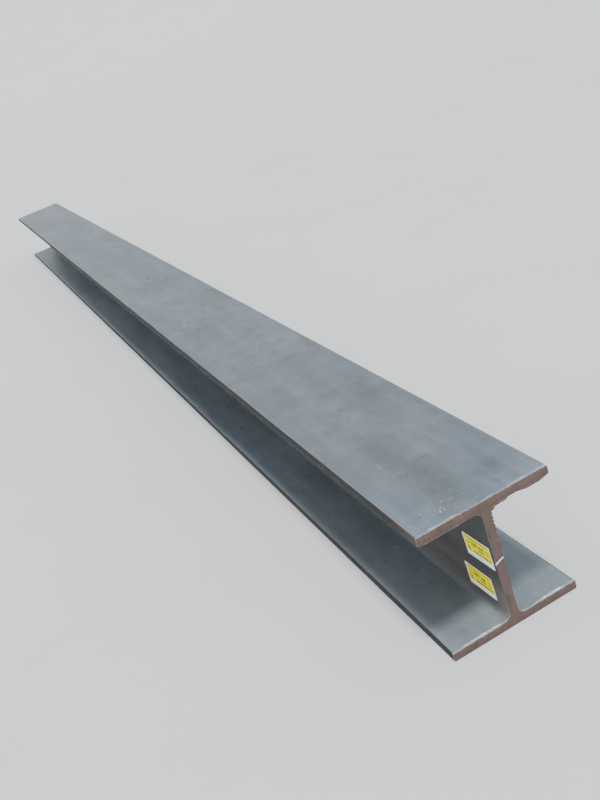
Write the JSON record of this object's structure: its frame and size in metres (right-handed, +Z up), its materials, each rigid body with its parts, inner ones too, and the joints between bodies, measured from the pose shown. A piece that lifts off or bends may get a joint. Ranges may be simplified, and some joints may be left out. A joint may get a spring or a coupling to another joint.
{
  "type": "steel h-beam",
  "caption": "Hot-rolled steel H-beam, as deep as it is wide, with parallel flanges, thick web, root fillets and sawn ends, for piles, columns and girders, with stick-on stock tags.",
  "frame": {"origin": "on the underside of the bottom flange, at mid length and mid width", "axes": "+Y along the beam's length, with the tagged end at -Y; +Z up through the web from the bottom flange to the top flange; the tags are on the web's -X side"},
  "size_m": [0.31, 6, 0.31],
  "materials": {
    "mill_scale_steel": "hot-rolled mill scale, dark blue-grey, with brown flash rust on the sawn ends and along the root fillets",
    "tag_film": "bright yellow stick-on tag with a pale strip along its lower edge, satin"
  },
  "bodies": {
    "root": {"rolled_beam": "mill_scale_steel", "upper_tag": "tag_film", "lower_tag": "tag_film"}
  },
  "joints": []
}
